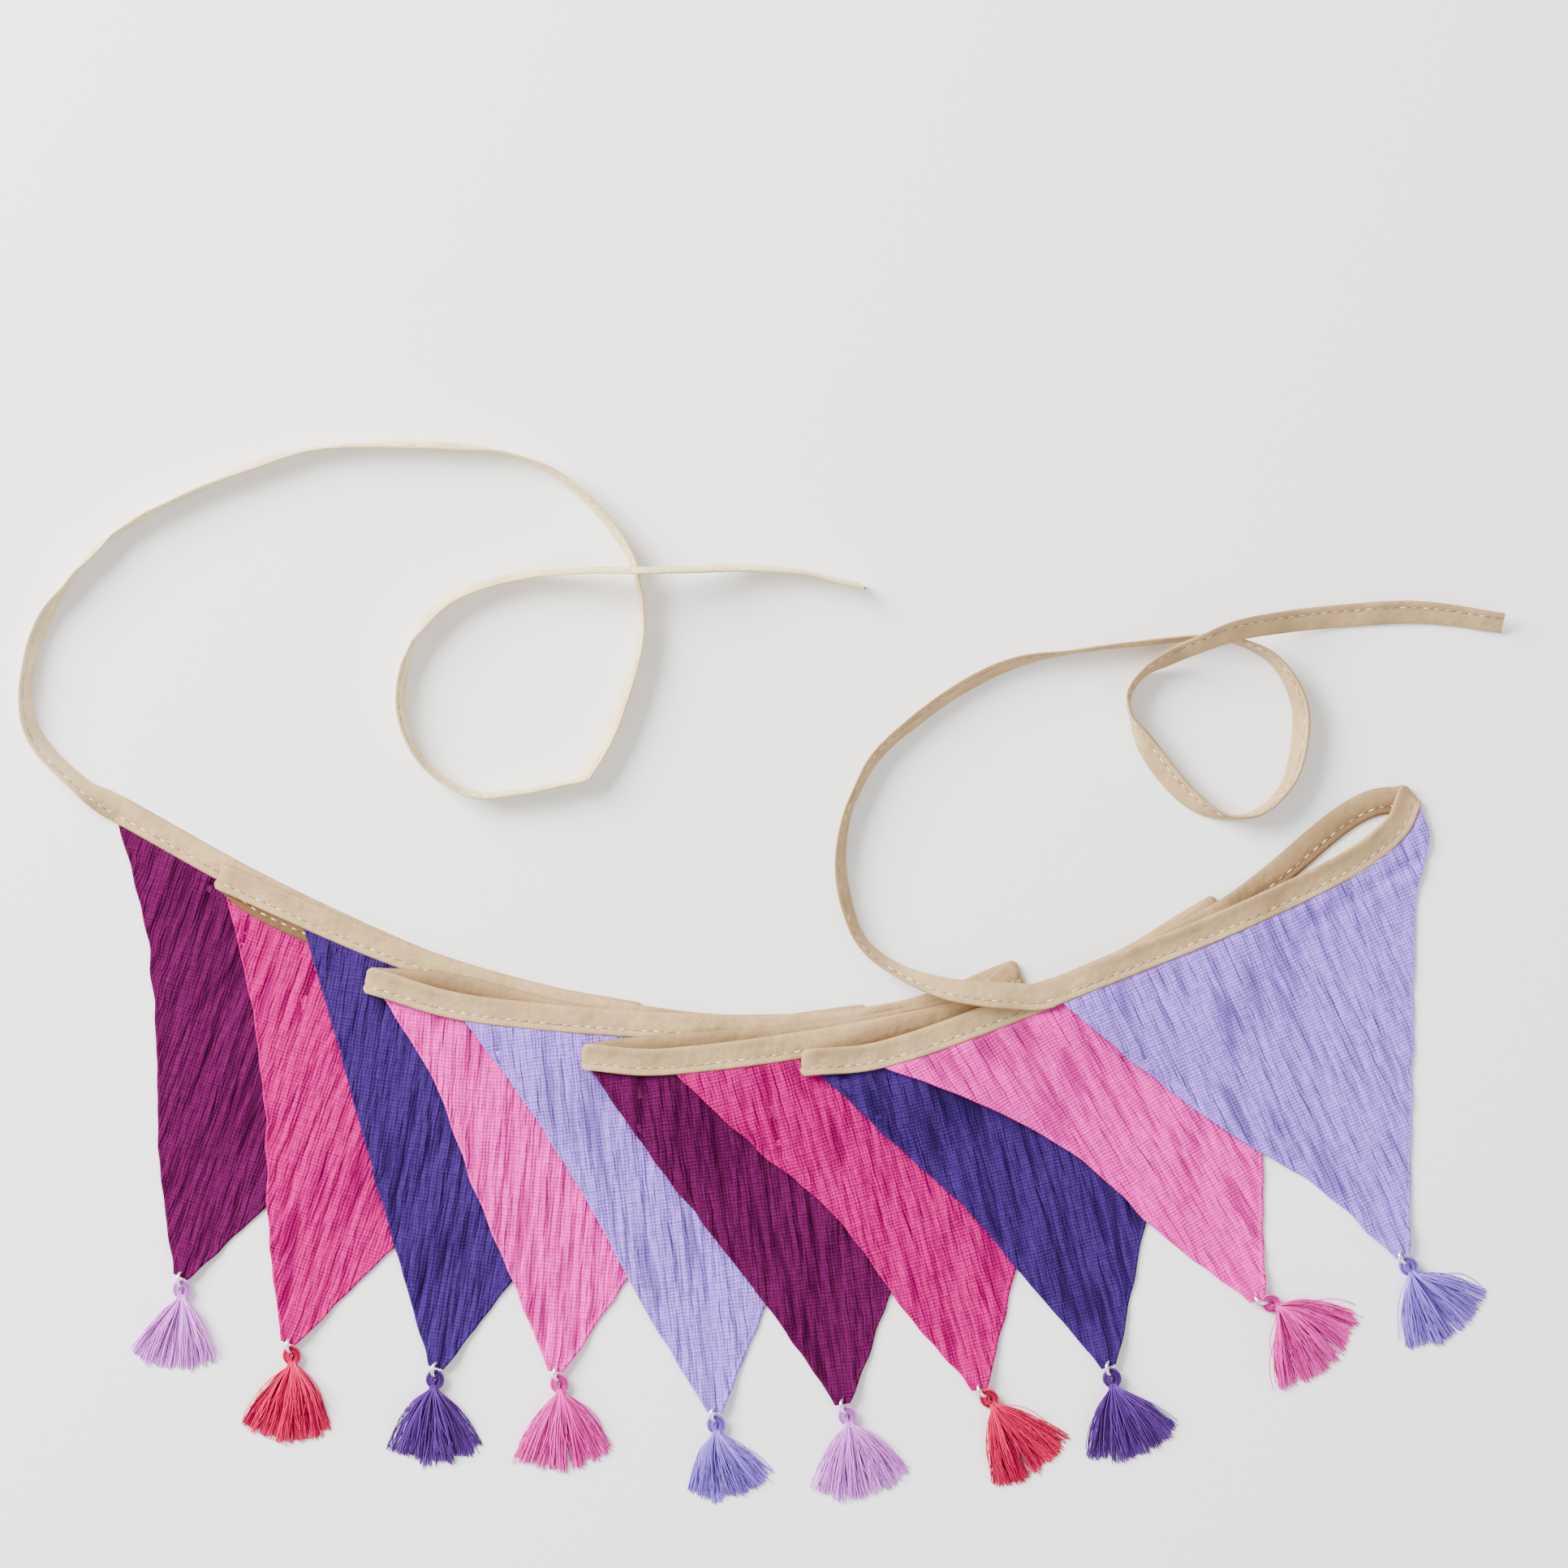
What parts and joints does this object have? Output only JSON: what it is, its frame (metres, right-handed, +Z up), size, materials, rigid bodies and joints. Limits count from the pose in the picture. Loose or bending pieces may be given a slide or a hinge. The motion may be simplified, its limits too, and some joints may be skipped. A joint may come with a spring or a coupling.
{
  "type": "fabric bunting",
  "caption": "Fabric bunting laid flat and fanned: gauze pennants on a folded tape with two free ties, a wire ring and a thread tassel at each tip.",
  "frame": {"origin": "middle of the fan's bounding box, without its ties, on the surface it rests on", "axes": "+Z up; +X along the folded tape from the first pennant to the last; +Y from the tassels to the tape"},
  "size_m": [0.5488, 0.3906, 0.0211],
  "materials": {
    "tape_cotton": "woven cotton tape, tan",
    "ring_steel": "polished plated wire",
    "cloth_1": "crinkled cotton gauze, plum",
    "cloth_2": "crinkled cotton gauze, hot pink",
    "cloth_3": "crinkled cotton gauze, dark violet",
    "cloth_4": "crinkled cotton gauze, pink",
    "cloth_5": "crinkled cotton gauze, lavender",
    "thread_1": "embroidery thread, lilac",
    "thread_2": "embroidery thread, crimson",
    "thread_3": "embroidery thread, violet",
    "thread_4": "embroidery thread, rose",
    "thread_5": "embroidery thread, periwinkle"
  },
  "bodies": {
    "root": {"binding": "tape_cotton", "tie_left": "tape_cotton", "tie_right": "tape_cotton", "pennant_01": "cloth_1", "ring_01": "ring_steel", "tassel_01": "thread_1", "pennant_02": "cloth_2", "ring_02": "ring_steel", "tassel_02": "thread_2", "pennant_03": "cloth_3", "ring_03": "ring_steel", "tassel_03": "thread_3", "pennant_04": "cloth_4", "ring_04": "ring_steel", "tassel_04": "thread_4", "pennant_05": "cloth_5", "ring_05": "ring_steel", "tassel_05": "thread_5", "pennant_06": "cloth_1", "ring_06": "ring_steel", "tassel_06": "thread_1", "pennant_07": "cloth_2", "ring_07": "ring_steel", "tassel_07": "thread_2", "pennant_08": "cloth_3", "ring_08": "ring_steel", "tassel_08": "thread_3", "pennant_09": "cloth_4", "ring_09": "ring_steel", "tassel_09": "thread_4", "pennant_10": "cloth_5", "ring_10": "ring_steel", "tassel_10": "thread_5"}
  },
  "joints": []
}
